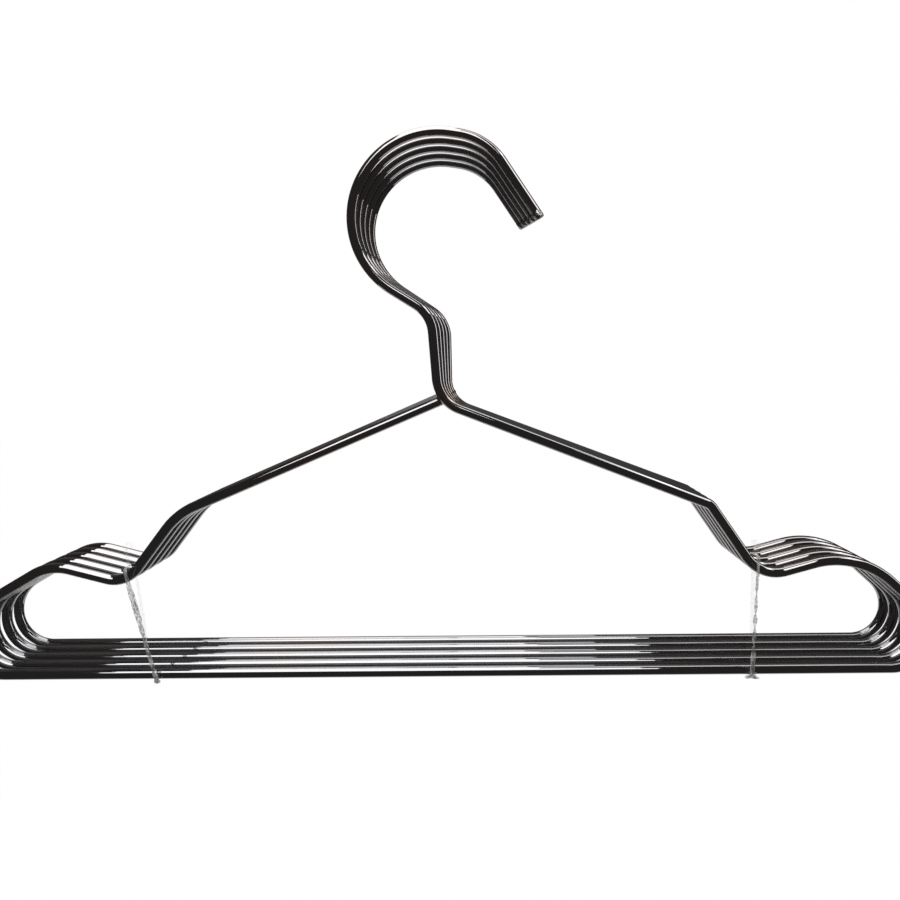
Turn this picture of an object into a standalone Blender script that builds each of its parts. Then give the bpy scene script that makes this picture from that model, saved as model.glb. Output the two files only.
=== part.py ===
"""Pack of nested bent-wire hangers for pet clothes, bound by a film tie at each shoulder dip.

Metres, +Z up. +X runs along the bars to the right, +Y from the front hanger to the rear one. The origin
is the rail seat of the middle hanger: the inside top of its hook, where a rail bears.

Each hanger is one wire, bent round a row of pins and then welded to itself. It starts at the end of the
left arm, which laps behind the neck, goes round the frame and up the neck, and ends at the tip of the
hook. The hangers nest neck to neck, so their spacing there follows from the lap. The ties draw the bars
a little closer than that. Sizes of the frame are measured from the middle of the bottom bar.
"""
import math
from collections import namedtuple

import bmesh
import bpy
import numpy as np
from mathutils import Euler, Matrix, Vector

for item in list(bpy.data.objects):
    bpy.data.objects.remove(item, do_unlink=True)

MM = 0.001

# Wire, and how many hangers are in the pack
WIRE = 3.2 * MM
HANGER_COUNT = 5

# Hook: a run up from the neck, a large bend that hangs on a rail, a slacker bend and a straight beak.
# Slopes are in degrees from the horizontal.
HOOK_RISE = 140.1 * MM
HOOK_RADIUS = 26.4 * MM
HOOK_RUN = 8.4 * MM
HOOK_RUN_SLOPE = 32.1
CREST_RUN = 2.5 * MM
CREST_SLOPE = 8.8
BEAK_RADIUS = 19.8 * MM
BEAK_SLOPE = 56.8
BEAK_LENGTH = 21.1 * MM
TIP_CHAMFER = 0.4 * MM

# Neck, and the bend at its root into the right arm. The lean is in degrees from the vertical.
NECK_TOP_RADIUS = 11.3 * MM
NECK_RUN = 14.4 * MM
NECK_LEAN = 4.4
NECK_ROOT_RADIUS = 10.8 * MM

# Left side of the frame, from the end of the bar round to the arm
LEFT_END_X = 134.4 * MM
LEFT_END_RADIUS = 11.9 * MM
LEFT_END_RUN = 17.0 * MM
LEFT_END_SLOPE = 30.4
LEFT_HUMP_RADIUS = 15.0 * MM
LEFT_HUMP_RUN = 12.0 * MM
LEFT_HUMP_SLOPE = 14.6
LEFT_DIP_RADIUS = 8.9 * MM
LEFT_DIP_RUN = 14.9 * MM
LEFT_DIP_SLOPE = 53.2
LEFT_SHOULDER_RADIUS = 21.7 * MM

# Right side of the frame, which the bender leaves longer and with a sharper shoulder
RIGHT_END_X = 138.8 * MM
RIGHT_END_RADIUS = 11.4 * MM
RIGHT_END_RUN = 10.0 * MM
RIGHT_END_SLOPE = 42.9
RIGHT_HUMP_RADIUS = 25.5 * MM
RIGHT_HUMP_RUN = 9.2 * MM
RIGHT_HUMP_SLOPE = 14.9
RIGHT_DIP_RADIUS = 11.0 * MM
RIGHT_DIP_RUN = 18.5 * MM
RIGHT_DIP_SLOPE = 55.9
RIGHT_SHOULDER_RADIUS = 4.0 * MM

# Welded joint: the left arm's end lies behind the bend at the root of the neck, with a bead between.
# The angle says where on that bend the wire is crossed, as the heading of the wire there.
JOINT_HEADING = 130.0
WELD_GAP = 0.2 * MM
WELD_WIDTH = 3.4 * MM
WELD_HEIGHT = 3.0 * MM

# How each hanger differs from the one in front of it
FRAME_DRIFT = 0.13 * MM
HOOK_TIGHTENING = 0.53 * MM
HOOK_RUN_GROWTH = 1.0 * MM
HOOK_RUN_STEEPENING = 0.5
NECK_STRAIGHTENING = 0.9
BEAK_SHORTENING = 1.25 * MM
JOINT_CLIMB = 3.6

# Spacing of the pack
NEST_GAP = 0.3 * MM
BAR_PITCH = 6.6 * MM

# Film ties: how far inside the dip the front strand crosses, how far inside that it reaches the bar, and
# how far outside each crossing the next one lies, going back through the pack
TIE_WIDTH = 1.6 * MM
TIE_THICKNESS = 0.3 * MM
TIE_CLEARANCE = 0.5 * MM
TIE_SLACK = 2.9 * MM
TIE_CORNER = 1.2 * MM
LEFT_TIE_INSET = 4.8 * MM
LEFT_TIE_LEAN = 9.3 * MM
LEFT_TIE_DIP_DRIFT = 3.4 * MM
LEFT_TIE_BAR_DRIFT = 4.1 * MM
LEFT_KNOT_LENGTH = 3.0 * MM
RIGHT_TIE_INSET = 6.9 * MM
RIGHT_TIE_LEAN = 1.7 * MM
RIGHT_TIE_DIP_DRIFT = 2.8 * MM
RIGHT_TIE_BAR_DRIFT = 2.9 * MM
RIGHT_KNOT_LENGTH = 6.5 * MM
KNOT_THICKNESS = 0.8 * MM
KNOT_SPREAD = 1.6 * MM

# Facets
WIRE_SIDES = 10
ARC_STEP = math.radians(10.0)
ARM_STEPS = 6
TIE_STEP = 1.5 * MM
TIE_FINE_STEP = 0.25 * MM
BEAD_SEGMENTS = 12
BEAD_RINGS = 8

# Sizes that follow from the ones above
WIRE_RADIUS = WIRE / 2
LAP = WIRE + WELD_GAP
NECK_PITCH = LAP + WIRE + NEST_GAP
MIDDLE = (HANGER_COUNT - 1) // 2
SEAT_RISE = HOOK_RISE + HOOK_RADIUS - MIDDLE * HOOK_TIGHTENING - WIRE_RADIUS

LEFT_TURN = 1
RIGHT_TURN = -1

# A bend of the wire: its centre in the plane of the hanger, its centre-line radius and the way the wire
# turns as it goes from the joint round the frame to the hook. A wire's two ends are bends of no radius.
Bend = namedtuple("Bend", "x z radius turn")
Side = namedtuple("Side", "end_x end_radius end_run end_slope hump_radius hump_run hump_slope "
                          "dip_radius dip_run dip_slope shoulder_radius")
LEFT_SIDE = Side(LEFT_END_X, LEFT_END_RADIUS, LEFT_END_RUN, LEFT_END_SLOPE, LEFT_HUMP_RADIUS,
                 LEFT_HUMP_RUN, LEFT_HUMP_SLOPE, LEFT_DIP_RADIUS, LEFT_DIP_RUN, LEFT_DIP_SLOPE,
                 LEFT_SHOULDER_RADIUS)
RIGHT_SIDE = Side(RIGHT_END_X, RIGHT_END_RADIUS, RIGHT_END_RUN, RIGHT_END_SLOPE, RIGHT_HUMP_RADIUS,
                  RIGHT_HUMP_RUN, RIGHT_HUMP_SLOPE, RIGHT_DIP_RADIUS, RIGHT_DIP_RUN, RIGHT_DIP_SLOPE,
                  RIGHT_SHOULDER_RADIUS)
DIP = 2


def point_at(bend, heading):
    """Where a wire with this heading touches the bend."""
    reach = bend.turn * bend.radius
    return bend.x + math.sin(heading) * reach, bend.z - math.cos(heading) * reach


def next_bend(bend, heading, run, radius, turn):
    """The bend after a straight run; a negative run gives the bend before it."""
    x, z = point_at(bend, heading)
    reach = turn * radius
    return Bend(x + math.cos(heading) * run - math.sin(heading) * reach,
                z + math.sin(heading) * run + math.cos(heading) * reach, radius, turn)


def run_heading(start, end):
    """Heading of the straight run that leaves one bend and touches another."""
    dx, dz = end.x - start.x, end.z - start.z
    offset = end.turn * end.radius - start.turn * start.radius
    return math.atan2(dz, dx) - math.asin(offset / math.hypot(dx, dz))


def side_bends(side):
    """Bends of one side from the bar's end to the shoulder, with x counted outwards, and the headings of
    the runs between them for a wire that goes that way."""
    headings = [math.radians(180.0 - side.end_slope), math.radians(180.0 + side.hump_slope),
                math.radians(180.0 - side.dip_slope)]
    end = Bend(side.end_x, side.end_radius, side.end_radius, LEFT_TURN)
    hump = next_bend(end, headings[0], side.end_run, side.hump_radius, LEFT_TURN)
    dip = next_bend(hump, headings[1], side.hump_run, side.dip_radius, RIGHT_TURN)
    shoulder = next_bend(dip, headings[2], side.dip_run, side.shoulder_radius, LEFT_TURN)
    return [end, hump, dip, shoulder], headings


def hanger_bends(rank):
    """Bends of one hanger in the order in which the wire meets them, and the headings of the runs between;
    rank counts back from the front."""
    hook = Bend(0.0, HOOK_RISE, HOOK_RADIUS - rank * HOOK_TIGHTENING, RIGHT_TURN)
    hook_heading = math.radians(180.0 - HOOK_RUN_SLOPE - rank * HOOK_RUN_STEEPENING)
    hook_run = HOOK_RUN + rank * HOOK_RUN_GROWTH
    neck_heading = math.radians(90.0 + NECK_LEAN - rank * NECK_STRAIGHTENING)
    top = next_bend(hook, hook_heading, -hook_run, NECK_TOP_RADIUS, LEFT_TURN)
    root = next_bend(top, neck_heading, -NECK_RUN, NECK_ROOT_RADIUS, RIGHT_TURN)
    crest_heading, beak_heading = math.radians(-CREST_SLOPE), math.radians(-BEAK_SLOPE)
    beak = next_bend(hook, crest_heading, CREST_RUN, BEAK_RADIUS, RIGHT_TURN)
    tip = next_bend(beak, beak_heading, BEAK_LENGTH - rank * BEAK_SHORTENING, 0.0, RIGHT_TURN)
    joint = Bend(*point_at(root, math.radians(JOINT_HEADING - rank * JOINT_CLIMB)), 0.0, LEFT_TURN)

    shift = rank * FRAME_DRIFT
    left, left_headings = side_bends(LEFT_SIDE)
    right, right_headings = side_bends(RIGHT_SIDE)
    left = [bend._replace(x=shift - bend.x) for bend in reversed(left)]
    right = [bend._replace(x=shift + bend.x) for bend in right]
    bends = [joint, *left, *right, root, top, hook, beak, tip]
    headings = [run_heading(joint, left[0]), *[-heading for heading in reversed(left_headings)], 0.0,
                *right_headings, run_heading(right[-1], root), neck_heading, hook_heading,
                crest_heading, beak_heading]
    return bends, headings


def bend_wire(rank):
    """Centre line round the bends: rows of x, z and heading, and the first row of each bend's arc."""
    bends, headings = hanger_bends(rank)
    rows, starts = [], []
    for index, bend in enumerate(bends):
        starts.append(len(rows))
        arriving = headings[max(index - 1, 0)]
        leaving = headings[min(index, len(headings) - 1)]
        sweep = ((leaving - arriving) * bend.turn) % (2 * math.pi) if bend.radius else 0.0
        count = max(1, math.ceil(sweep / ARC_STEP)) if bend.radius else 0
        for step in range(count + 1):
            heading = arriving + bend.turn * sweep * (step / count if count else 0.0)
            rows.append((*point_at(bend, heading), heading))
    return np.array(rows), starts


def joint_point(rank):
    """Middle of the welded joint in the plane of the hanger."""
    joint = hanger_bends(rank)[0][0]
    return joint.x, joint.z


FAN_STEP = math.atan2(NECK_PITCH - BAR_PITCH, joint_point(MIDDLE)[1])


def lapped_wire(rank):
    """Centre line in space: the left arm swings back to the lap as it nears the neck."""
    rows, starts = bend_wire(rank)
    first, last = rows[0], rows[starts[1]]
    share = np.linspace(0.0, 1.0, ARM_STEPS + 1)[:-1]
    arm = first + (last - first) * share[:, None]
    arm[:, 2] = last[2]
    length = math.hypot(last[0] - first[0], last[1] - first[1])
    back = LAP * (1 + 2 * share) * (1 - share) ** 2
    slope = LAP * 6 * share * (share - 1) / length
    rows = np.vstack([arm, rows[1:]])
    y = np.concatenate([back, np.zeros(len(rows) - ARM_STEPS)])
    swing = np.concatenate([slope, np.zeros(len(rows) - ARM_STEPS)])
    points = np.stack([rows[:, 0], y, rows[:, 1]], axis=1)
    tangents = np.stack([np.cos(rows[:, 2]), swing, np.sin(rows[:, 2])], axis=1)
    return points, tangents / np.linalg.norm(tangents, axis=1, keepdims=True)


def closed_mesh(name, rings, looped):
    """Skin over rings of equal size: rings is (count, sides, 3). Open skins get a cap at each end."""
    count, sides = rings.shape[:2]
    mesh = bmesh.new()
    verts = [mesh.verts.new(p) for p in rings.reshape(-1, 3)]
    for ring in range(count if looped else count - 1):
        here, there = ring * sides, (ring + 1) % count * sides
        for side in range(sides):
            near = (side + 1) % sides
            mesh.faces.new((verts[here + side], verts[here + near], verts[there + near], verts[there + side]))
    if not looped:
        mesh.faces.new(verts[:sides])
        mesh.faces.new(verts[-sides:])
    bmesh.ops.recalc_face_normals(mesh, faces=mesh.faces)
    data = bpy.data.meshes.new(name)
    mesh.to_mesh(data)
    mesh.free()
    return data


def add_object(name, data, material, place):
    """Link a mesh under this name, with its material and its place."""
    data.materials.append(material)
    data.shade_smooth()
    item = bpy.data.objects.new(name, data)
    item.matrix_world = place
    bpy.context.scene.collection.objects.link(item)
    return item


def make_material(name, color, metallic, roughness, alpha=1.0):
    material = bpy.data.materials.new(name)
    material.use_nodes = True
    shader = material.node_tree.nodes["Principled BSDF"]
    shader.inputs["Base Color"].default_value = (*color, 1.0)
    shader.inputs["Metallic"].default_value = metallic
    shader.inputs["Roughness"].default_value = roughness
    shader.inputs["Alpha"].default_value = alpha
    return material


def hanger_place(rank):
    """Where a hanger stands: its own origin is the middle of its bottom bar."""
    back = rank - MIDDLE
    lean = Euler((-FAN_STEP * back, 0.0, 0.0)).to_matrix().to_4x4()
    return Matrix.Translation((0.0, back * BAR_PITCH, -SEAT_RISE)) @ lean


def add_weld(hanger, rank):
    """Bead that joins the lapped arm end to the neck, united with the wire."""
    mesh = bmesh.new()
    size = Matrix.Diagonal((WELD_WIDTH, LAP, WELD_HEIGHT, 1.0))
    x, z = joint_point(rank)
    centre = Vector((x, LAP / 2, z))
    bmesh.ops.create_uvsphere(mesh, u_segments=BEAD_SEGMENTS, v_segments=BEAD_RINGS, radius=0.5,
                              matrix=Matrix.Translation(centre) @ size)
    data = bpy.data.meshes.new("weld_bead")
    mesh.to_mesh(data)
    mesh.free()
    bead = bpy.data.objects.new("weld_bead_guide", data)
    bead.matrix_world = hanger.matrix_world
    bead.hide_render = True
    bead.display_type = "WIRE"
    bpy.context.scene.collection.objects.link(bead)
    union = hanger.modifiers.new("weld", "BOOLEAN")
    union.operation = "UNION"
    union.solver = "EXACT"
    union.object = bead


def make_hanger(rank, material):
    """One hanger: the wire swept along its centre line, with a chamfered hook tip and a welded joint."""
    points, tangents = lapped_wire(rank)
    radii = np.full(len(points), WIRE_RADIUS)
    chamfer_start = points[-1] - tangents[-1] * TIP_CHAMFER
    points = np.vstack([points[:-1], chamfer_start, points[-1]])
    tangents = np.vstack([tangents, tangents[-1]])
    radii = np.append(radii, WIRE_RADIUS - TIP_CHAMFER)
    across = np.array([0.0, 1.0, 0.0]) - tangents * tangents[:, 1:2]
    across /= np.linalg.norm(across, axis=1, keepdims=True)
    beside = np.cross(across, tangents)
    turn = 2 * np.pi * (np.arange(WIRE_SIDES) + 0.5) / WIRE_SIDES
    rings = (points[:, None] + radii[:, None, None] * (np.cos(turn)[None, :, None] * beside[:, None]
                                                       + np.sin(turn)[None, :, None] * across[:, None]))
    name = f"hanger_{rank + 1}"
    hanger = add_object(name, closed_mesh(name, rings, looped=False), material, hanger_place(rank))
    add_weld(hanger, rank)


def dip_crossing(rank, side, x):
    """Middle of the hanger's wire at this x, near the dip of one side, and the slope of the wire there."""
    rows, starts = bend_wire(rank)
    if side < 0:
        stretch = rows[starts[1] + 1:starts[4]]
    else:
        stretch = rows[starts[6]:starts[9] - 1]
    order = np.argsort(stretch[:, 0])
    height = float(np.interp(x, stretch[order, 0], stretch[order, 1]))
    slope = float(np.interp(x, stretch[order, 0], np.tan(stretch[order, 2])))
    return Vector((x, 0.0, height)), abs(slope)


def tie_corners(side, inset, lean, dip_drift, bar_drift):
    """Corners of a tie's loop: over every dip, down behind the pack, under the bars and up in front."""
    dip = side_bends(LEFT_SIDE if side < 0 else RIGHT_SIDE)[0][DIP]
    front_x = side * (dip.x - inset)
    bar_x = front_x - side * lean
    over = []
    for rank in range(HANGER_COUNT):
        local, slope = dip_crossing(rank, side, front_x + side * rank * dip_drift)
        lift = (WIRE_RADIUS + TIE_CLEARANCE + TIE_THICKNESS / 2) * math.hypot(1.0, slope)
        place = hanger_place(rank) @ local
        over.append(place + Vector((0.0, 0.0, lift + slope * TIE_WIDTH / 2)))
    front, rear = over[0].copy(), over[-1].copy()
    front.y -= WIRE_RADIUS + TIE_SLACK
    rear.y += WIRE_RADIUS + TIE_SLACK
    under = -SEAT_RISE - WIRE_RADIUS - TIE_CLEARANCE - TIE_THICKNESS / 2
    last = HANGER_COUNT - 1
    bar_clearance = WIRE_RADIUS + 2 * TIE_CLEARANCE
    rear_x = bar_x + side * last * bar_drift
    rear_foot = Vector((rear_x, (last - MIDDLE) * BAR_PITCH + bar_clearance, under))
    front_foot = Vector((bar_x, -MIDDLE * BAR_PITCH - bar_clearance, under))
    return np.array([*over, rear, rear_foot, front_foot, front])


def soften(corners):
    """Closed loop through the corners, read at an even step, with each corner rounded."""
    closed = np.vstack([corners, corners[:1]])
    length = np.concatenate([[0.0], np.cumsum(np.linalg.norm(np.diff(closed, axis=0), axis=1))])
    fine = np.linspace(0.0, length[-1], round(length[-1] / TIE_FINE_STEP), endpoint=False)
    loop = np.stack([np.interp(fine, length, closed[:, axis]) for axis in range(3)], axis=1)
    reach = round(TIE_CORNER / TIE_FINE_STEP)
    for _ in range(2):
        loop = sum(np.roll(loop, shift, axis=0) for shift in range(-reach, reach + 1)) / (2 * reach + 1)
    return loop[::round(TIE_STEP / TIE_FINE_STEP)]


def make_tie(name, corners, knot_length, material):
    """Film band along the loop; it gathers into a knot under the front bar."""
    loop = soften(corners)
    tangents = np.roll(loop, -1, axis=0) - np.roll(loop, 1, axis=0)
    tangents /= np.linalg.norm(tangents, axis=1, keepdims=True)
    wide = np.array([1.0, 0.0, 0.0]) - tangents * tangents[:, :1]
    wide /= np.linalg.norm(wide, axis=1, keepdims=True)
    outward = np.cross(wide, tangents)
    front_foot = corners[-2]
    knot_at = front_foot + Vector((0.0, WIRE_RADIUS + TIE_CLEARANCE, 0.0))
    gather = np.exp(-(np.linalg.norm(loop - np.array(knot_at), axis=1) / KNOT_SPREAD) ** 2)
    half_width = TIE_WIDTH / 2 + (knot_length - TIE_WIDTH) / 2 * gather
    growth = (KNOT_THICKNESS - TIE_THICKNESS) * gather
    inner = loop - outward * (TIE_THICKNESS / 2)
    outer = loop + outward * (TIE_THICKNESS / 2 + growth)[:, None]
    side = wide * half_width[:, None]
    rings = np.stack([inner - side, inner + side, outer + side, outer - side], axis=1)
    add_object(name, closed_mesh(name, rings, looped=True), material, Matrix.Identity(4))


def build():
    steel = make_material("dark_polished_steel", (0.06, 0.058, 0.062), 1.0, 0.12)
    film = make_material("clear_film", (0.85, 0.86, 0.86), 0.0, 0.2, alpha=0.4)
    for rank in range(HANGER_COUNT):
        make_hanger(rank, steel)
    left = tie_corners(-1, LEFT_TIE_INSET, LEFT_TIE_LEAN, LEFT_TIE_DIP_DRIFT, LEFT_TIE_BAR_DRIFT)
    right = tie_corners(1, RIGHT_TIE_INSET, RIGHT_TIE_LEAN, RIGHT_TIE_DIP_DRIFT, RIGHT_TIE_BAR_DRIFT)
    make_tie("tie_left", left, LEFT_KNOT_LENGTH, film)
    make_tie("tie_right", right, RIGHT_KNOT_LENGTH, film)


build()
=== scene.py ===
import math
from collections import namedtuple

import bpy
import numpy as np
from mathutils import Matrix, Vector


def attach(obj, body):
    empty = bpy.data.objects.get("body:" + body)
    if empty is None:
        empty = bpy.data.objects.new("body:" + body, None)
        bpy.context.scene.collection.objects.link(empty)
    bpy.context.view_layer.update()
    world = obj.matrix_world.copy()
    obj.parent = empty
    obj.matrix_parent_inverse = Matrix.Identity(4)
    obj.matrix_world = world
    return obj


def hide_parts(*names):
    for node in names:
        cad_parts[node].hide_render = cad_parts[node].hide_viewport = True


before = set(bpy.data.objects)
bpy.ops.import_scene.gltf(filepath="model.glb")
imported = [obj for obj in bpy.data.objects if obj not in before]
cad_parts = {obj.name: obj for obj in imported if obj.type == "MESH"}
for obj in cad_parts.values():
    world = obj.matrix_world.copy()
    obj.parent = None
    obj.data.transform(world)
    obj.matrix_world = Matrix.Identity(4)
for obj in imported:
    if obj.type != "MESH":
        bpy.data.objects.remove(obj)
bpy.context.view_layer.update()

MM = 0.001

# Wire and pack. A hanger's rank counts from 0 for the front one to 4 for the rear one.
WIRE_RADIUS = 1.6 * MM
HANGER_COUNT = 5
MIDDLE = 2
BODIES = ["front_hanger", "front_inner_hanger", "middle_hanger", "rear_inner_hanger", "rear_hanger"]

# Hook, neck and joint; slopes, leans and headings are in degrees
HOOK_RISE = 140.1 * MM
HOOK_RADIUS = 26.4 * MM
HOOK_RUN = 8.4 * MM
HOOK_RUN_SLOPE = 32.1
CREST_RUN = 2.5 * MM
CREST_SLOPE = 8.8
BEAK_RADIUS = 19.8 * MM
BEAK_SLOPE = 56.8
BEAK_LENGTH = 21.1 * MM
NECK_TOP_RADIUS = 11.3 * MM
NECK_RUN = 14.4 * MM
NECK_LEAN = 4.4
NECK_ROOT_RADIUS = 10.8 * MM
JOINT_HEADING = 130.0
LAP = 3.4 * MM
WELD_WIDTH = 3.4 * MM
WELD_HEIGHT = 3.0 * MM
WELD_SWELL = 0.05
WELD_RIPPLE = 0.04

# Cut ends of a wire, ring by ring from the cut inwards: how deep each ring lies, how far its radius falls
# short of the wire's, and its mark, which is 1 on the cut face, less on the crinkled plate and 0 beyond
CUT_DEPTHS = np.array([0.0, 0.10, 0.30, 0.6, 2.7]) * MM
CUT_INSETS = np.array([0.42, 0.22, 0.06, 0.0, 0.0]) * MM
CUT_MARKS = np.array([1.0, 0.4, 0.4, 0.4, 0.0])

# Sides of the frame: end of the bar, hump, dip, shoulder
Side = namedtuple("Side", "end_x end_radius end_run end_slope hump_radius hump_run hump_slope "
                          "dip_radius dip_run dip_slope shoulder_radius")
LEFT_SIDE = Side(end_x=134.4 * MM, end_radius=11.9 * MM, end_run=17.0 * MM, end_slope=30.4,
                 hump_radius=15.0 * MM, hump_run=12.0 * MM, hump_slope=14.6,
                 dip_radius=8.9 * MM, dip_run=14.9 * MM, dip_slope=53.2, shoulder_radius=21.7 * MM)
RIGHT_SIDE = Side(end_x=138.8 * MM, end_radius=11.4 * MM, end_run=10.0 * MM, end_slope=42.9,
                  hump_radius=25.5 * MM, hump_run=9.2 * MM, hump_slope=14.9,
                  dip_radius=11.0 * MM, dip_run=18.5 * MM, dip_slope=55.9, shoulder_radius=4.0 * MM)

# How each hanger differs from the one in front of it, and how far apart they are
FRAME_DRIFT = 0.13 * MM
HOOK_TIGHTENING = 0.53 * MM
HOOK_RUN_GROWTH = 1.0 * MM
HOOK_RUN_STEEPENING = 0.5
NECK_STRAIGHTENING = 0.9
BEAK_SHORTENING = 1.25 * MM
JOINT_CLIMB = 3.6
BAR_PITCH = 6.6 * MM
NEST_GAP = 0.3 * MM
NECK_PITCH = LAP + 2 * WIRE_RADIUS + NEST_GAP
SEAT_RISE = HOOK_RISE + HOOK_RADIUS - MIDDLE * HOOK_TIGHTENING - WIRE_RADIUS

# Film ties. Widths and the knot's length are in millimetres, and turns counts the full turns of the front
# strand. Its widths are given at WIDTH_HEIGHTS, shares of its height from the bar up to the dip, and are
# smoothed over a few steps.
Tie = namedtuple("Tie", "inset lean dip_drift bar_drift front_widths back_width turns pleats knot_length")
LEFT_TIE = Tie(inset=4.8 * MM, lean=9.3 * MM, dip_drift=3.4 * MM, bar_drift=4.1 * MM,
               front_widths=(1.5, 1.3, 1.4, 1.9, 1.8, 1.0, 1.1), back_width=1.1,
               turns=0, pleats=3.0, knot_length=2.4)
RIGHT_TIE = Tie(inset=6.9 * MM, lean=1.7 * MM, dip_drift=2.8 * MM, bar_drift=2.9 * MM,
                front_widths=(1.5, 1.4, 1.3, 1.1, 1.0, 0.9, 1.3), back_width=1.5,
                turns=2, pleats=4.0, knot_length=5.0)
WIDTH_HEIGHTS = (0.0, 0.25, 0.45, 0.62, 0.8, 0.93, 1.0)
WIDTH_SMOOTHING = 6

# How a tie runs round the wires, how deep its front strand reaches, and the shares of its height at which
# that strand starts to turn and over which it turns
TIE_WIDTH = 1.6 * MM
TIE_CLEARANCE = 0.65 * MM
TIE_SLACK = 2.75 * MM
TIE_CORNER = 1.2 * MM
TIE_ROUNDINGS = 2
FRONT_DEPTH = 0.4 * MM
TURN_START = 0.12
TURN_SPAN = 0.7

# The knot's reach along the tie, half the film's thickness and what the knot adds to it, and the folds:
# thicknesses and depths in millimetres, and rates in radians per millimetre along the tie
KNOT_REACH = 1.6 * MM
FILM_THICKNESS = 0.10
KNOT_THICKNESS = 0.14
PLEAT_DEPTH = 0.11
PLEAT_RATE = 0.31
PLEAT_WANDER = 0.9
WANDER_RATE = 0.8
CREASE_DEPTH = 0.05
CREASE_RATE = 2.3
CREASE_WAVES = 4.0
EDGE_WAVE = 0.05
EDGE_RATE = 1.7

# Fineness of the surfaces
WIRE_SIDES = 28
ARC_STEP = math.radians(2.5)
ARM_STEPS = 24
BEAD_RINGS = 18
BEAD_SIDES = 28
TIE_STEP = 0.2 * MM
TIE_SIDES = 28

# Colours of the finishes
BLUE_PLATE = (0.252, 0.254, 0.262)
BROWN_PLATE = (0.275, 0.254, 0.246)
STRAW_PLATE = (0.28, 0.21, 0.15)
DARK_STEEL = (0.30, 0.29, 0.28)
BRIGHT_STEEL = (0.75, 0.74, 0.72)
# Film colours are painted light: a painted grey for the dark wires seen through it, and a painted pale glint
PAINTED_DARK_REFRACTION = (0.24, 0.24, 0.235)
PAINTED_GLINT = (0.92, 0.92, 0.91)

# Heat tint on the plate round the welds: the line along Y through them, how far from it the tint starts to
# fade and where it ends, how much that edge wobbles, and the strength of the tint
HEAT_CENTRE = (2.4 * MM, 0.0, 83.9 * MM - SEAT_RISE)
HEAT_CORE = 2.6 * MM
HEAT_REACH = 7.5 * MM
HEAT_WOBBLE = 4.0 * MM
HEAT_TINT = 0.5

# Roughness of the plate, what each mark adds to it, and roughness of the cut steel
PLATE_ROUGHNESS = 0.02
LINE_ROUGHNESS = 0.03
SMUDGE_ROUGHNESS = 0.04
HEAT_ROUGHNESS = 0.14
CUT_ROUGHNESS = 0.34

# Relief of the plate and of the cut steel, in millimetres
WAVE_HEIGHT = 0.05
PEEL_HEIGHT = 0.0012
NICK_DEPTH = 0.012
SAW_HEIGHT = 0.09
CRINKLE_HEIGHT = 0.6
SCALE_HEIGHT = 0.006

# Film: its roughness and how much of it shows, plain and what a crease adds, the stretch of depth over which
# it fades, and its relief, of which a fold is the given share of a crease
FILM_ROUGHNESS = 0.10
CREASE_ROUGHNESS = 0.18
FILM_SHOWN = 0.10
CREASE_SHOWN = 0.85
FADE_FRONT = -14.5 * MM
FADE_REAR = -4.0 * MM
FILM_FADE = 0.86
FILM_RELIEF = 0.15 * MM
RELIEF_STRENGTH = 0.8
FOLD_SHARE = 0.4

# Stage: a floor this far below the bars and a backdrop behind the pack
WHITE = (1.0, 1.0, 1.0)
STAGE_COLOR = (0.8, 0.8, 0.8)
STAGE_WHITENESS = 0.997
STAGE_LEFT = -1.5
FLOOR_RIGHT = 1.5
FLOOR_FRONT = 0.25
FLOOR_DROP = 1.1
FLOOR_HEIGHT = -SEAT_RISE - FLOOR_DROP
BACKDROP_RIGHT = 0.6
BACKDROP_DEPTH = 1.8
BACKDROP_TOP = -0.24

# Room: its colours low in front and high behind, and how much the depth and the height of a direction count
DARK_ROOM = (0.055, 0.050, 0.050)
PALE_ROOM = (0.14, 0.135, 0.14)
ROOM_DEPTH_SHARE = 0.5
ROOM_HEIGHT_SHARE = 0.6
ROOM_DARK_BELOW = 0.42
ROOM_PALE_ABOVE = 0.72

# Softboxes on an arc of this radius over the bars: the elevations in degrees between which the bars see
# each, where 0 is level in front and 90 straight up, its two ends along X, and its radiance
LAMP_DISTANCE = 1.2
Softbox = namedtuple("Softbox", "name lower upper left right radiance")
SOFTBOXES = [
    Softbox("front_softbox", 32.0, 46.0, -0.62, 0.32, 4.0),
    Softbox("middle_softbox", 46.0, 62.0, -0.60, 0.29, 4.0),
    Softbox("upper_softbox", 62.0, 88.0, -0.47, 0.12, 4.0),
    Softbox("top_softbox", 88.0, 112.0, -0.44, 0.10, 4.0),
    Softbox("rear_softbox", 112.0, 134.0, -0.42, 0.22, 1.6),
    Softbox("low_rear_softbox", 134.0, 156.0, -0.42, 0.22, 0.6),
    Softbox("side_softbox", 76.0, 100.0, 0.12, 1.0, 2.6),
]

# Lamps that stand by themselves at the right: centre, what they point at, size and radiance
Lamp = namedtuple("Lamp", "name centre aim width height radiance")
SIDE_LAMPS = [
    Lamp("right_softbox", (1.2, 0.08, 0.42 - SEAT_RISE), (0.05, 0.0, 0.10 - SEAT_RISE), 0.34, 0.90, 3.0),
    Lamp("corner_softbox", (1.12, -0.32, 1.05), (0.0, 0.0, 0.0), 0.95, 0.42, 3.6),
]

# Camera: its distance before the front bar, its height over the bars, its place along them, its roll in
# degrees, and its lens
CAMERA_DISTANCE = 240.0 * MM
CAMERA_RISE = 95.2 * MM
CAMERA_X = 10.4 * MM
CAMERA_ROLL = -0.45
SENSOR_WIDTH = 36.0
FOCAL_LENGTH = 31.07
LENS_SHIFT = (-0.0249, -0.0970)
CLIP_RANGE = (0.01, 50.0)

# A bend of a wire in its own plane. Its turn is 1 where it runs round anticlockwise, seen from the front,
# and -1 where it runs round clockwise.
Bend = namedtuple("Bend", "x z radius turn")


# Centre lines

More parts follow.
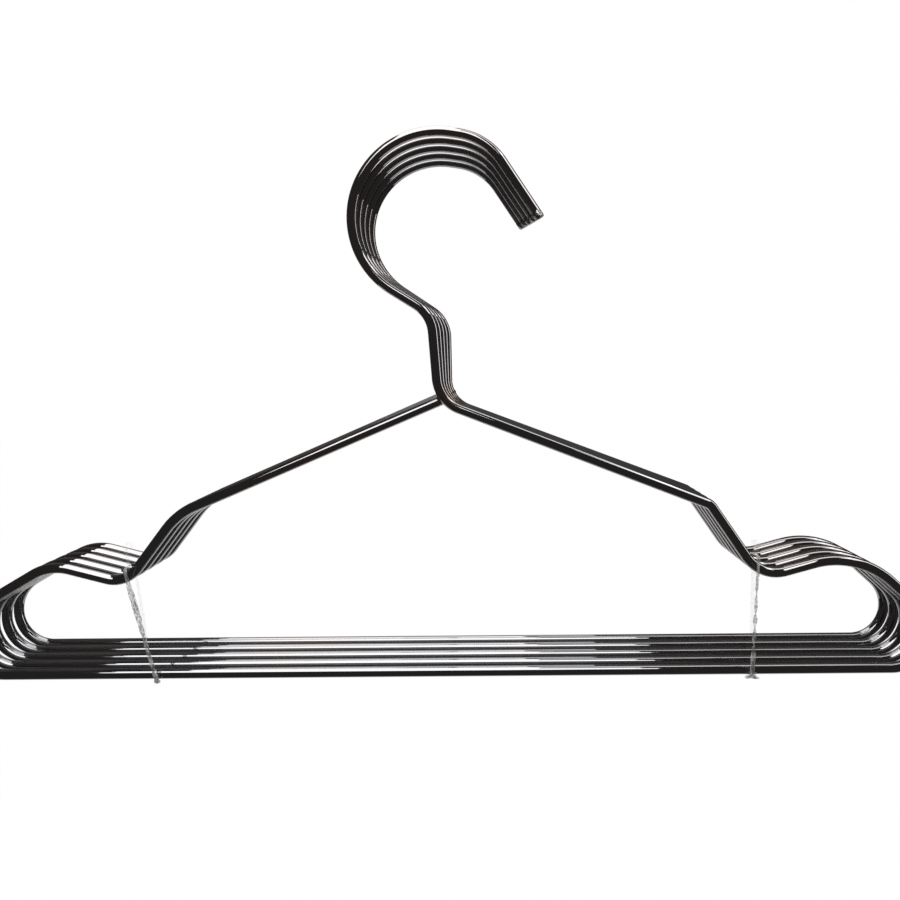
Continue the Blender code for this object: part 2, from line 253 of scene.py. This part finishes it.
def point_at(bend, heading):
    """Where a wire with this heading touches the bend: its centre, and the radius square to the heading."""
    reach = bend.turn * bend.radius
    return bend.x + math.sin(heading) * reach, bend.z - math.cos(heading) * reach


def next_bend(bend, heading, run, radius, turn):
    """The bend after a straight run from this one; a negative run gives the bend before it."""
    x, z = point_at(bend, heading)
    reach = turn * radius
    return Bend(x + math.cos(heading) * run - math.sin(heading) * reach,
                z + math.sin(heading) * run + math.cos(heading) * reach, radius, turn)


def run_heading(start, end):
    """Heading of the straight run that touches both bends."""
    dx, dz = end.x - start.x, end.z - start.z
    offset = end.turn * end.radius - start.turn * start.radius
    return math.atan2(dz, dx) - math.asin(offset / math.hypot(dx, dz))


def side_bends(side):
    """Bends of one side from the bar's end to the shoulder, x counted outwards, and the runs' headings."""
    headings = [math.radians(180.0 - side.end_slope), math.radians(180.0 + side.hump_slope),
                math.radians(180.0 - side.dip_slope)]
    end = Bend(side.end_x, side.end_radius, side.end_radius, 1)
    hump = next_bend(end, headings[0], side.end_run, side.hump_radius, 1)
    dip = next_bend(hump, headings[1], side.hump_run, side.dip_radius, -1)
    shoulder = next_bend(dip, headings[2], side.dip_run, side.shoulder_radius, 1)
    return [end, hump, dip, shoulder], headings


def hanger_bends(rank):
    """Bends of one wire from the joint round the frame to the hook's tip, and the headings between them."""
    hook = Bend(0.0, HOOK_RISE, HOOK_RADIUS - rank * HOOK_TIGHTENING, -1)
    hook_heading = math.radians(180.0 - HOOK_RUN_SLOPE - rank * HOOK_RUN_STEEPENING)
    neck_heading = math.radians(90.0 + NECK_LEAN - rank * NECK_STRAIGHTENING)
    top = next_bend(hook, hook_heading, -(HOOK_RUN + rank * HOOK_RUN_GROWTH), NECK_TOP_RADIUS, 1)
    root = next_bend(top, neck_heading, -NECK_RUN, NECK_ROOT_RADIUS, -1)
    crest_heading, beak_heading = math.radians(-CREST_SLOPE), math.radians(-BEAK_SLOPE)
    beak = next_bend(hook, crest_heading, CREST_RUN, BEAK_RADIUS, -1)
    tip = next_bend(beak, beak_heading, BEAK_LENGTH - rank * BEAK_SHORTENING, 0.0, -1)
    joint = Bend(*point_at(root, math.radians(JOINT_HEADING - rank * JOINT_CLIMB)), 0.0, 1)
    shift = rank * FRAME_DRIFT
    left, left_headings = side_bends(LEFT_SIDE)
    right, right_headings = side_bends(RIGHT_SIDE)
    left = [bend._replace(x=shift - bend.x) for bend in reversed(left)]
    right = [bend._replace(x=shift + bend.x) for bend in right]
    headings = [run_heading(joint, left[0]), *[-heading for heading in reversed(left_headings)], 0.0,
                *right_headings, run_heading(right[-1], root), neck_heading, hook_heading,
                crest_heading, beak_heading]
    return [joint, *left, *right, root, top, hook, beak, tip], headings


def arc_rows(bend, arriving, leaving):
    """Rows of x, z and heading round a bend: the centre plus the radius at evenly spaced headings."""
    sweep = ((leaving - arriving) * bend.turn) % (2 * math.pi) if bend.radius else 0.0
    count = max(1, math.ceil(sweep / ARC_STEP)) if bend.radius else 0
    heading = arriving + bend.turn * sweep * np.linspace(0.0, 1.0, count + 1)
    reach = bend.turn * bend.radius
    return np.stack([bend.x + np.sin(heading) * reach, bend.z - np.cos(heading) * reach, heading], axis=1)


def wire_arcs(rank):
    """Rows round each bend of one wire, from the joint to the hook's tip. The joint and the tip are bends
    of no radius."""
    bends, headings = hanger_bends(rank)
    return [arc_rows(bend, headings[max(i - 1, 0)], headings[min(i, len(headings) - 1)])
            for i, bend in enumerate(bends)]


def wire_line(rank):
    """Centre line of one wire in its own frame, and its unit tangents. The arm's last stretch swings back
    by LAP (1 + 2s)(1 - s)^2, where s runs from 0 at the joint to 1 at the shoulder."""
    arcs = wire_arcs(rank)
    first, last = arcs[0][0], arcs[1][0]
    share = np.linspace(0.0, 1.0, ARM_STEPS + 1)[:-1]
    arm = first + (last - first) * share[:, None]
    arm[:, 2] = last[2]
    length = math.hypot(last[0] - first[0], last[1] - first[1])
    rows = np.vstack([arm, *arcs[1:]])
    swing_y = np.zeros(len(rows))
    slope = np.zeros(len(rows))
    swing_y[:ARM_STEPS] = LAP * (1 + 2 * share) * (1 - share) ** 2
    slope[:ARM_STEPS] = LAP * 6 * share * (share - 1) / length
    points = np.stack([rows[:, 0], swing_y, rows[:, 1]], axis=1)
    tangents = np.stack([np.cos(rows[:, 2]), slope, np.sin(rows[:, 2])], axis=1)
    return points, tangents / np.linalg.norm(tangents, axis=1, keepdims=True)


def joint_point(rank):
    """Where the lapped end of the arm crosses the neck, in the hanger's own frame."""
    joint = hanger_bends(rank)[0][0]
    return joint.x, joint.z


FAN_STEP = math.atan2(NECK_PITCH - BAR_PITCH, joint_point(MIDDLE)[1])


def hanger_place(rank):
    """Where a hanger stands: moved back by its place in the pack, and fanned a little about its bar."""
    back = rank - MIDDLE
    fan = Matrix.Rotation(-FAN_STEP * back, 4, "X")
    return Matrix.Translation((0.0, back * BAR_PITCH, -SEAT_RISE)) @ fan


# Meshes

def placed(points, place):
    """Points (..., 3) carried by a 4 x 4 place."""
    turn = np.array(place.to_3x3())
    return points @ turn.T + np.array(place.to_translation())


def tube_mesh(name, rings, along, looped=False, cut=None, ends=1.0):
    """Closed skin over a grid of rings (count, sides, 3). An open skin gets a pole at the middle of each end
    ring. The UV map holds the length along the piece in metres and the share of the way round it. cut holds
    the marks of the rings as a cut end, and ends that of the two poles."""
    count, sides = rings.shape[:2]
    points = rings.reshape(-1, 3)
    row = np.arange(count if looped else count - 1)[:, None]
    side = np.arange(sides)[None, :]
    near, far = row * sides, (row + 1) % count * sides
    next_side = (side + 1) % sides
    quads = np.stack([near + side, near + next_side, far + next_side, far + side], axis=-1).reshape(-1, 4)
    near_u = np.broadcast_to(along[row], (len(row), sides))
    far_u = np.broadcast_to(along[row + 1], (len(row), sides))
    side_v = np.broadcast_to(side / sides, (len(row), sides))
    next_v = side_v + 1.0 / sides
    quad_uv = np.stack([np.stack([near_u, side_v], -1), np.stack([near_u, next_v], -1),
                        np.stack([far_u, next_v], -1), np.stack([far_u, side_v], -1)], axis=2)
    faces, uv = quads.tolist(), [quad_uv.reshape(-1, 2)]
    if not looped:
        points = np.vstack([points, rings[0].mean(axis=0), rings[-1].mean(axis=0)])
        start, end, last = len(points) - 2, len(points) - 1, (count - 1) * sides
        ring = np.arange(sides)
        step = (ring + 1) % sides
        faces += np.stack([np.full(sides, start), step, ring], axis=1).tolist()
        faces += np.stack([np.full(sides, end), last + ring, last + step], axis=1).tolist()
        uv += [np.tile([along[0], 0.5], (3 * sides, 1)), np.tile([along[-1], 0.5], (3 * sides, 1))]
    mesh = bpy.data.meshes.new(name)
    mesh.from_pydata(points.tolist(), [], faces)
    layer = mesh.uv_layers.new(name="wire_map")
    layer.data.foreach_set("uv", np.concatenate(uv).astype(np.float32).ravel())
    if cut is not None:
        values = np.concatenate([np.repeat(cut, sides), [ends, ends]])
        attribute = mesh.attributes.new("cut_end", "FLOAT", "POINT")
        attribute.data.foreach_set("value", values.astype(np.float32))
    mesh.shade_smooth()
    mesh.validate()
    return mesh


def add_piece(name, mesh, material, body, slot, *nodes):
    """Link a finished piece, and say which body it rides on and which nodes it stands for."""
    piece = bpy.data.objects.new(name, mesh)
    bpy.context.scene.collection.objects.link(piece)
    mesh.materials.append(material)
    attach(piece, body)
    if nodes:
        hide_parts(*nodes)


def lengths_along(points):
    """Running length of a line of points."""
    return np.concatenate([[0.0], np.cumsum(np.linalg.norm(np.diff(points, axis=0), axis=1))])


def square_axes(tangents):
    """Two unit vectors square to each tangent: one nearest +Y, and one beside it."""
    across = np.array([0.0, 1.0, 0.0]) - tangents * tangents[:, 1:2]
    across /= np.linalg.norm(across, axis=1, keepdims=True)
    return across, np.cross(across, tangents)


def wire_piece(rank, material):
    """A wire: a circle of the wire's radius carried along its centre line. At each cut end the radius falls
    short by CUT_INSETS at CUT_DEPTHS, which rounds off the edge, and the rings there bear CUT_MARKS."""
    points, tangents = wire_line(rank)
    start = points[0] + tangents[0] * CUT_DEPTHS[:, None]
    end = points[-1] - tangents[-1] * CUT_DEPTHS[::-1, None]
    points = np.vstack([start, points[1:-1], end])
    rows = len(CUT_DEPTHS)
    tangents = np.vstack([np.repeat(tangents[:1], rows, axis=0), tangents[1:-1],
                          np.repeat(tangents[-1:], rows, axis=0)])
    radii = np.full(len(points), WIRE_RADIUS)
    radii[:rows] -= CUT_INSETS
    radii[-rows:] -= CUT_INSETS[::-1]
    cut = np.zeros(len(points))
    cut[:rows] = CUT_MARKS
    cut[-rows:] = CUT_MARKS[::-1]
    across, beside = square_axes(tangents)
    turn = 2 * np.pi * np.arange(WIRE_SIDES) / WIRE_SIDES
    rings = points[:, None] + radii[:, None, None] * (np.cos(turn)[None, :, None] * beside[:, None]
                                                       + np.sin(turn)[None, :, None] * across[:, None])
    rings = placed(rings, hanger_place(rank))
    mesh = tube_mesh(f"wire_{rank + 1}", rings, lengths_along(points), cut=cut)
    add_piece(f"wire_{rank + 1}", mesh, material, BODIES[rank], "dark_chrome", f"hanger_{rank + 1}")


def weld_piece(rank, material):
    """Weld bead between the lapped arm end and the neck: an ellipsoid whose radius swells and sinks by the
    shares WELD_SWELL and WELD_RIPPLE, in three waves round it and two along it, and in two and five."""
    x, z = joint_point(rank)
    polar = np.linspace(0.0, np.pi, BEAD_RINGS)[1:-1, None]
    round_it = 2 * np.pi * np.arange(BEAD_SIDES)[None, :] / BEAD_SIDES
    swell = (1.0 + WELD_SWELL * np.sin(3 * round_it + 2 * polar + rank)
             + WELD_RIPPLE * np.sin(5 * polar + 2 * round_it))
    unit = np.stack([np.sin(polar) * np.cos(round_it), np.cos(polar) * np.ones_like(round_it),
                     np.sin(polar) * np.sin(round_it)], axis=-1) * swell[..., None]
    rings = unit * np.array([WELD_WIDTH, LAP, WELD_HEIGHT]) / 2 + np.array([x, LAP / 2, z])
    rings = placed(rings, hanger_place(rank))
    along = lengths_along(rings[:, 0])
    mesh = tube_mesh(f"weld_{rank + 1}", rings, along, cut=np.zeros(len(rings)), ends=0.0)
    add_piece(f"weld_{rank + 1}", mesh, material, BODIES[rank], "dark_chrome")


# Film ties

def dip_crossing(rank, side, x):
    """Middle of the wire at this x, near the dip of one side, and the slope of the wire there. The wire's
    arcs 1 to 3 are the left shoulder, dip and hump, and 6 to 8 the right hump, dip and shoulder."""
    arcs = wire_arcs(rank)
    left_arcs, right_arcs = arcs[1:4], arcs[6:9]
    rows = np.vstack(left_arcs if side < 0 else right_arcs)
    rows = rows[np.argsort(rows[:, 0])]
    height = float(np.interp(x, rows[:, 0], rows[:, 1]))
    return Vector((x, 0.0, height)), abs(float(np.interp(x, rows[:, 0], np.tan(rows[:, 2]))))


def running_mean(rows, reach):
    """Mean of each row of a loop and its neighbours up to this reach."""
    return sum(np.roll(rows, shift, axis=0) for shift in range(-reach, reach + 1)) / (2 * reach + 1)


def tie_loop(side, tie):
    """Closed line of a tie: over every dip, down behind the pack, under the bars and up in front, with each
    corner rounded by a running mean. Returns the line and the lower and upper corner of its front strand."""
    _, _, dip, _ = side_bends(LEFT_SIDE if side < 0 else RIGHT_SIDE)[0]
    front_x = side * (dip.x - tie.inset)
    bar_x = front_x - side * tie.lean
    over = []
    for rank in range(HANGER_COUNT):
        local, slope = dip_crossing(rank, side, front_x + side * rank * tie.dip_drift)
        lift = (WIRE_RADIUS + TIE_CLEARANCE) * math.hypot(1.0, slope) + slope * TIE_WIDTH / 2
        over.append(hanger_place(rank) @ local + Vector((0.0, 0.0, lift)))
    front, rear = over[0].copy(), over[-1].copy()
    front.y -= WIRE_RADIUS + TIE_SLACK
    rear.y += WIRE_RADIUS + TIE_SLACK
    under = -SEAT_RISE - WIRE_RADIUS - TIE_CLEARANCE
    clear = WIRE_RADIUS + 2 * TIE_CLEARANCE
    rear_x = bar_x + side * (HANGER_COUNT - 1) * tie.bar_drift
    rear_foot = Vector((rear_x, MIDDLE * BAR_PITCH + clear, under))
    front_foot = Vector((bar_x, -MIDDLE * BAR_PITCH - clear, under))
    corners = np.array([*over, rear, rear_foot, front_foot, front, over[0]])
    length = lengths_along(corners)
    fine = np.linspace(0.0, length[-1], round(length[-1] / TIE_STEP), endpoint=False)
    line = np.stack([np.interp(fine, length, corners[:, axis]) for axis in range(3)], axis=1)
    for _ in range(TIE_ROUNDINGS):
        line = running_mean(line, round(TIE_CORNER / TIE_STEP))
    return line, front_foot, front


def tie_piece(name, side, tie, material):
    """Gathered film: a thin lens carried round the loop, half its width times the cosine and half its
    thickness times the sine of the angle round it. Two sine waves across and along it bend it into pleats
    and creases. Its width follows the share of the height of the front strand, it turns over there by a
    smooth step, and a bell curve swells it into a knot under the front bar."""
    line, foot, top = tie_loop(side, tie)
    tangents = np.roll(line, -1, axis=0) - np.roll(line, 1, axis=0)
    tangents /= np.linalg.norm(tangents, axis=1, keepdims=True)
    wide = np.array([1.0, 0.0, 0.0]) - tangents * tangents[:, :1]
    wide /= np.linalg.norm(wide, axis=1, keepdims=True)
    outward = np.cross(wide, tangents)
    along = lengths_along(np.vstack([line, line[:1]]))
    rise = np.clip((line[:, 2] - foot.z) / (top.z - foot.z), 0.0, 1.0)
    in_front = line[:, 1] < foot.y + FRONT_DEPTH
    front_width = np.interp(rise, WIDTH_HEIGHTS, tie.front_widths) * MM
    half = running_mean(np.where(in_front, front_width, tie.back_width * MM) / 2, WIDTH_SMOOTHING)
    ease = np.clip((rise - TURN_START) / TURN_SPAN, 0.0, 1.0)
    angle = np.where(in_front, 2 * np.pi * tie.turns * ease * ease * (3 - 2 * ease), 0.0)
    knot_at = np.array(foot) + np.array([0.0, WIRE_RADIUS + TIE_CLEARANCE, 0.0])
    gather = np.exp(-(np.linalg.norm(line - knot_at, axis=1) / KNOT_REACH) ** 2)
    half += (tie.knot_length * MM / 2 - half) * gather
    thick = (FILM_THICKNESS + KNOT_THICKNESS * gather) * MM
    turn = 2 * np.pi * np.arange(TIE_SIDES) / TIE_SIDES
    across, through = np.cos(turn)[None, :], np.sin(turn)[None, :]
    run = along[:-1, None] / MM
    wander = PLEAT_WANDER * np.sin(WANDER_RATE * run)
    folds = (PLEAT_DEPTH * np.sin(tie.pleats * across + wander + PLEAT_RATE * run)
             + CREASE_DEPTH * np.sin(CREASE_RATE * run + CREASE_WAVES * across))
    x = half[:, None] * across * (1 + EDGE_WAVE * np.sin(EDGE_RATE * run))
    y = thick[:, None] * through + folds * MM
    cosine, sine = np.cos(angle)[:, None, None], np.sin(angle)[:, None, None]
    wide, outward = wide[:, None], outward[:, None]
    rings = (line[:, None] + x[..., None] * (wide * cosine + outward * sine)
             + y[..., None] * (outward * cosine - wide * sine))
    mesh = tube_mesh(name, rings, along, looped=True)
    add_piece(name, mesh, material, "middle_hanger", "clear_film", name.replace("film", "tie"))


# Materials

class Signal:
    """A value in a node tree; arithmetic on it adds the Math node that works it out."""

    def __init__(self, nodes, socket):
        self.nodes, self.socket = nodes, socket

    def math(self, operation, *values):
        """The Math node of this operation on these values or signals."""
        return self.nodes.add("ShaderNodeMath", {"operation": operation}, dict(enumerate(values)))

    def __add__(self, other):
        return self.math("ADD", self, other)

    def __sub__(self, other):
        return self.math("SUBTRACT", self, other)

    def __rsub__(self, other):
        return self.math("SUBTRACT", other, self)

    def __mul__(self, other):
        return self.math("MULTIPLY", self, other)

    __radd__ = __add__
    __rmul__ = __mul__

    def larger(self, other):
        """The larger of two signals."""
        return self.math("MAXIMUM", self, other)

    def step(self, low, high):
        """Smooth step from 0 at low to 1 at high."""
        return self.nodes.add("ShaderNodeMapRange", {"interpolation_type": "SMOOTHSTEP"},
                              {"Value": self, "From Min": low, "From Max": high})


class Nodes:
    """The node tree of a material or a world."""

    def __init__(self, owner):
        owner.use_nodes = True
        self.tree = owner.node_tree

    def add(self, kind, settings=None, inputs=None, output=0):
        """New node: its settings first, then the values or links of its sockets. Gives one of its outputs,
        by name or count."""
        node = self.tree.nodes.new(kind)
        for key, value in (settings or {}).items():
            setattr(node, key, value)
        self.feed(node, inputs or {})
        return Signal(self, node.outputs[output])

    def feed(self, node, inputs):
        """Values or links for the sockets of a node."""
        for key, value in inputs.items():
            if isinstance(value, Signal):
                self.tree.links.new(value.socket, node.inputs[key])
            else:
                node.inputs[key].default_value = value

    def mix(self, share, first, second):
        """Colour between two colours."""
        colors = [color if isinstance(color, Signal) else (*color, 1.0) for color in (first, second)]
        return self.add("ShaderNodeMix", {"data_type": "RGBA"}, {0: share, 6: colors[0], 7: colors[1]}, 2)

    def noise(self, vector, scale=1.0, detail=2.0, roughness=0.5):
        """Noise from 0 to 1 with about this many waves per unit of the vector."""
        return self.add("ShaderNodeTexNoise", {}, {"Vector": vector, "Scale": scale, "Detail": detail,
                                                   "Roughness": roughness})

    def stretched(self, vector, scale):
        """The vector times a scale for each axis."""
        return self.add("ShaderNodeMapping", {}, {"Vector": vector, "Scale": scale})

    def axis(self, vector, name):
        """One axis of a vector."""
        return self.add("ShaderNodeSeparateXYZ", {}, {"Vector": vector}, name)


def dark_chrome():
    """Dark chrome plate on drawn wire: faint blue and brown tints in the plate, fine drawing lines along the
    wire and smudges in its shine, slow waves, a fine peel and a few nicks. Round the welds it has a straw
    heat tint and is duller. The cut faces are sawn steel, and the plate beside them is crinkled."""
    material = bpy.data.materials.new("dark_chrome")
    nodes = Nodes(material)
    place = nodes.add("ShaderNodeTexCoord", output="Object")
    wire_map = nodes.add("ShaderNodeUVMap", {"uv_map": "wire_map"})
    tint = nodes.noise(place, scale=14.0, detail=3.0).step(0.35, 0.68)
    plate = nodes.mix(tint, BLUE_PLATE, BROWN_PLATE)
    lines = nodes.noise(nodes.stretched(wire_map, (60.0, 90.0, 1.0)), detail=3.0, roughness=0.65)
    smudge = nodes.noise(place, scale=90.0, detail=4.0, roughness=0.6)

    flat_place = nodes.stretched(place, (1.0, 0.0, 1.0))
    away = nodes.add("ShaderNodeVectorMath", {"operation": "DISTANCE"},
                     {0: flat_place, 1: HEAT_CENTRE}, "Value")
    wobble = (nodes.noise(place, scale=400.0) - 0.5) * HEAT_WOBBLE
    heat = 1 - (away + wobble).step(HEAT_CORE, HEAT_REACH)
    plate = nodes.mix(heat * HEAT_TINT, plate, STRAW_PLATE)

    end = nodes.add("ShaderNodeAttribute", {"attribute_name": "cut_end"}, output="Fac")
    cut, crinkled = end.step(0.45, 0.6), end.step(0.0, 0.3)
    grain = nodes.noise(place, scale=2600.0, detail=3.0, roughness=0.7)
    color = nodes.mix(cut, plate, nodes.mix(grain, DARK_STEEL, BRIGHT_STEEL))
    roughness = (PLATE_ROUGHNESS + LINE_ROUGHNESS * lines + SMUDGE_ROUGHNESS * smudge.step(0.5, 0.8)
                 + HEAT_ROUGHNESS * heat)
    roughness = roughness + cut * (CUT_ROUGHNESS - roughness)

    nick_cells = nodes.add("ShaderNodeTexVoronoi", {"feature": "F1"}, {
        "Vector": nodes.stretched(wire_map, (70.0, 2.0, 1.0)), "Scale": 1.0, "Randomness": 1.0})
    nicks = 1 - nick_cells.step(0.02, 0.07)
    waves = nodes.noise(place, scale=75.0)
    peel = nodes.noise(place, scale=700.0)
    dents = nodes.noise(place, scale=1100.0, roughness=0.6)
    height = (waves * WAVE_HEIGHT + peel * PEEL_HEIGHT - nicks * NICK_DEPTH + cut * grain * SAW_HEIGHT
              + crinkled * dents * CRINKLE_HEIGHT + heat * grain * SCALE_HEIGHT)
    bump = nodes.add("ShaderNodeBump", {}, {"Strength": 1.0, "Distance": MM, "Height": height})
    nodes.feed(nodes.tree.nodes["Principled BSDF"],
               {"Base Color": color, "Metallic": 1.0, "Roughness": roughness, "Normal": bump})
    return material


def clear_film():
    """Thin clear film, gathered: in its folds it is painted grey where the dark wires would show through it
    and painted pale where it would glint, glossy, and denser on the fine creases along it. It fades from the
    front strand to the rear one."""
    material = bpy.data.materials.new("clear_film")
    nodes = Nodes(material)
    wire_map = nodes.add("ShaderNodeUVMap", {"uv_map": "wire_map"})
    creases = nodes.noise(nodes.stretched(wire_map, (900.0, 7.0, 1.0)), detail=4.0, roughness=0.7)
    # The fold mask sets the film's relief, and its colour as painted pale glints and painted grey refraction
    # of the dark wires
    folds = nodes.noise(nodes.stretched(wire_map, (420.0, 3.0, 1.0))).step(0.42, 0.62)
    depth = nodes.axis(nodes.add("ShaderNodeTexCoord", output="Object"), "Y")
    strand = 1 - FILM_FADE * depth.step(FADE_FRONT, FADE_REAR)
    shown = strand * (FILM_SHOWN + CREASE_SHOWN * creases.step(0.38, 0.68))
    bump = nodes.add("ShaderNodeBump", {}, {"Strength": RELIEF_STRENGTH, "Distance": FILM_RELIEF,
                                            "Height": creases + FOLD_SHARE * folds})
    # Base colour: painted glints and painted dark refraction, by turns in the folds
    nodes.feed(nodes.tree.nodes["Principled BSDF"], {
        "Base Color": nodes.mix(folds, PAINTED_DARK_REFRACTION, PAINTED_GLINT), "Metallic": 0.0,
        "Roughness": FILM_ROUGHNESS + CREASE_ROUGHNESS * creases, "Alpha": shown, "Normal": bump})
    return material


# Studio

def seen_white(nodes, surface):
    """The surface as it is for scattered light, and nearly plain white, by the share STAGE_WHITENESS, where
    the camera, a reflection or a clear piece looks at it."""
    camera, mirrored, through = [nodes.add("ShaderNodeLightPath", output=ray) for ray in
                                 ("Is Camera Ray", "Is Glossy Ray", "Is Transmission Ray")]
    looked_at = camera.larger(mirrored).larger(through)
    white = nodes.add("ShaderNodeEmission", {}, {"Color": (*WHITE, 1.0), "Strength": 1.0})
    return nodes.add("ShaderNodeMixShader", {}, {0: looked_at * STAGE_WHITENESS, 1: surface, 2: white})


def stage_plane(name, corners):
    """Flat stage piece: pale, matt, and white to the eye apart from a trace of the shadows on it."""
    mesh = bpy.data.meshes.new(name)
    mesh.from_pydata(corners, [], [(0, 1, 2, 3)])
    piece = bpy.data.objects.new(name, mesh)
    bpy.context.scene.collection.objects.link(piece)
    material = bpy.data.materials.new(name)
    nodes = Nodes(material)
    matt = nodes.add("ShaderNodeBsdfDiffuse", {}, {"Color": (*STAGE_COLOR, 1.0)})
    nodes.feed(nodes.tree.nodes["Material Output"], {"Surface": seen_white(nodes, matt)})
    mesh.materials.append(material)


def add_stage():
    """A pale floor well below the pack, and a backdrop far behind it with its top lower than the bars."""
    stage_plane("floor", [(STAGE_LEFT, FLOOR_FRONT, FLOOR_HEIGHT),
                          (FLOOR_RIGHT, FLOOR_FRONT, FLOOR_HEIGHT),
                          (FLOOR_RIGHT, BACKDROP_DEPTH, FLOOR_HEIGHT),
                          (STAGE_LEFT, BACKDROP_DEPTH, FLOOR_HEIGHT)])
    stage_plane("backdrop", [(STAGE_LEFT, BACKDROP_DEPTH, FLOOR_HEIGHT),
                             (BACKDROP_RIGHT, BACKDROP_DEPTH, FLOOR_HEIGHT),
                             (BACKDROP_RIGHT, BACKDROP_DEPTH, BACKDROP_TOP),
                             (STAGE_LEFT, BACKDROP_DEPTH, BACKDROP_TOP)])


def add_room():
    """A dim room round the pack, warm and dark low in front and brighter above and behind. To the camera it
    is plain white."""
    world = bpy.data.worlds.new("studio")
    nodes = Nodes(world)
    direction = nodes.add("ShaderNodeTexCoord", output="Generated")
    depth, height = nodes.axis(direction, "Y"), nodes.axis(direction, "Z")
    brighter = (depth * ROOM_DEPTH_SHARE + height * ROOM_HEIGHT_SHARE).step(ROOM_DARK_BELOW, ROOM_PALE_ABOVE)
    room = nodes.mix(brighter, DARK_ROOM, PALE_ROOM)
    color = nodes.mix(nodes.add("ShaderNodeLightPath", output="Is Camera Ray"), room, WHITE)
    nodes.feed(nodes.tree.nodes["Background"], {"Color": color, "Strength": 1.0})
    bpy.context.scene.world = world


def add_lamp(lamp):
    """Flat panel lamp. Its power is its radiance times pi times its area."""
    data = bpy.data.lights.new(lamp.name, "AREA")
    data.shape = "RECTANGLE"
    data.size, data.size_y = lamp.width, lamp.height
    data.energy = lamp.radiance * math.pi * lamp.width * lamp.height
    panel = bpy.data.objects.new(lamp.name, data)
    centre, aim = Vector(lamp.centre), Vector(lamp.aim)
    facing = (aim - centre).to_track_quat("-Z", "Y").to_matrix().to_4x4()
    panel.matrix_world = Matrix.Translation(centre) @ facing
    bpy.context.scene.collection.objects.link(panel)


def arc_lamp(box):
    """The lamp of a softbox on the arc over the bars: square to them, and as high as its elevations say."""
    angle = math.radians((box.lower + box.upper) / 2)
    middle = (box.left + box.right) / 2
    centre = (middle, -LAMP_DISTANCE * math.cos(angle), LAMP_DISTANCE * math.sin(angle) - SEAT_RISE)
    height = 2 * LAMP_DISTANCE * math.tan(math.radians((box.upper - box.lower) / 2))
    return Lamp(box.name, centre, (middle, 0.0, -SEAT_RISE), box.right - box.left, height, box.radiance)


def add_lamps():
    """Soft light: one broad even field in front of the bars and overhead, wide in front and narrowing
    upwards, two weaker panels behind it, and at the right a panel overhead, a tall one and a corner one."""
    for lamp in [*map(arc_lamp, SOFTBOXES), *SIDE_LAMPS]:
        add_lamp(lamp)


def add_camera():
    """Camera before the front bar, facing +Y and level, with its lens shifted to frame the pack."""
    data = bpy.data.cameras.new("photo_view")
    data.sensor_width = SENSOR_WIDTH
    data.lens = FOCAL_LENGTH
    data.shift_x, data.shift_y = LENS_SHIFT
    data.clip_start, data.clip_end = CLIP_RANGE
    camera = bpy.data.objects.new("photo_view", data)
    place = Matrix.Translation((CAMERA_X, -MIDDLE * BAR_PITCH - CAMERA_DISTANCE, CAMERA_RISE - SEAT_RISE))
    upright = Matrix.Rotation(math.radians(90.0), 4, "X")
    camera.matrix_world = place @ upright @ Matrix.Rotation(math.radians(CAMERA_ROLL), 4, "Z")
    bpy.context.scene.collection.objects.link(camera)
    bpy.context.scene.camera = camera


# The pack in its studio

chrome, film = dark_chrome(), clear_film()
for rank in range(HANGER_COUNT):
    wire_piece(rank, chrome)
    weld_piece(rank, chrome)
tie_piece("film_left", -1, LEFT_TIE, film)
tie_piece("film_right", 1, RIGHT_TIE, film)
add_stage()
add_room()
add_lamps()
add_camera()
bpy.context.scene.view_settings.view_transform = "Standard"
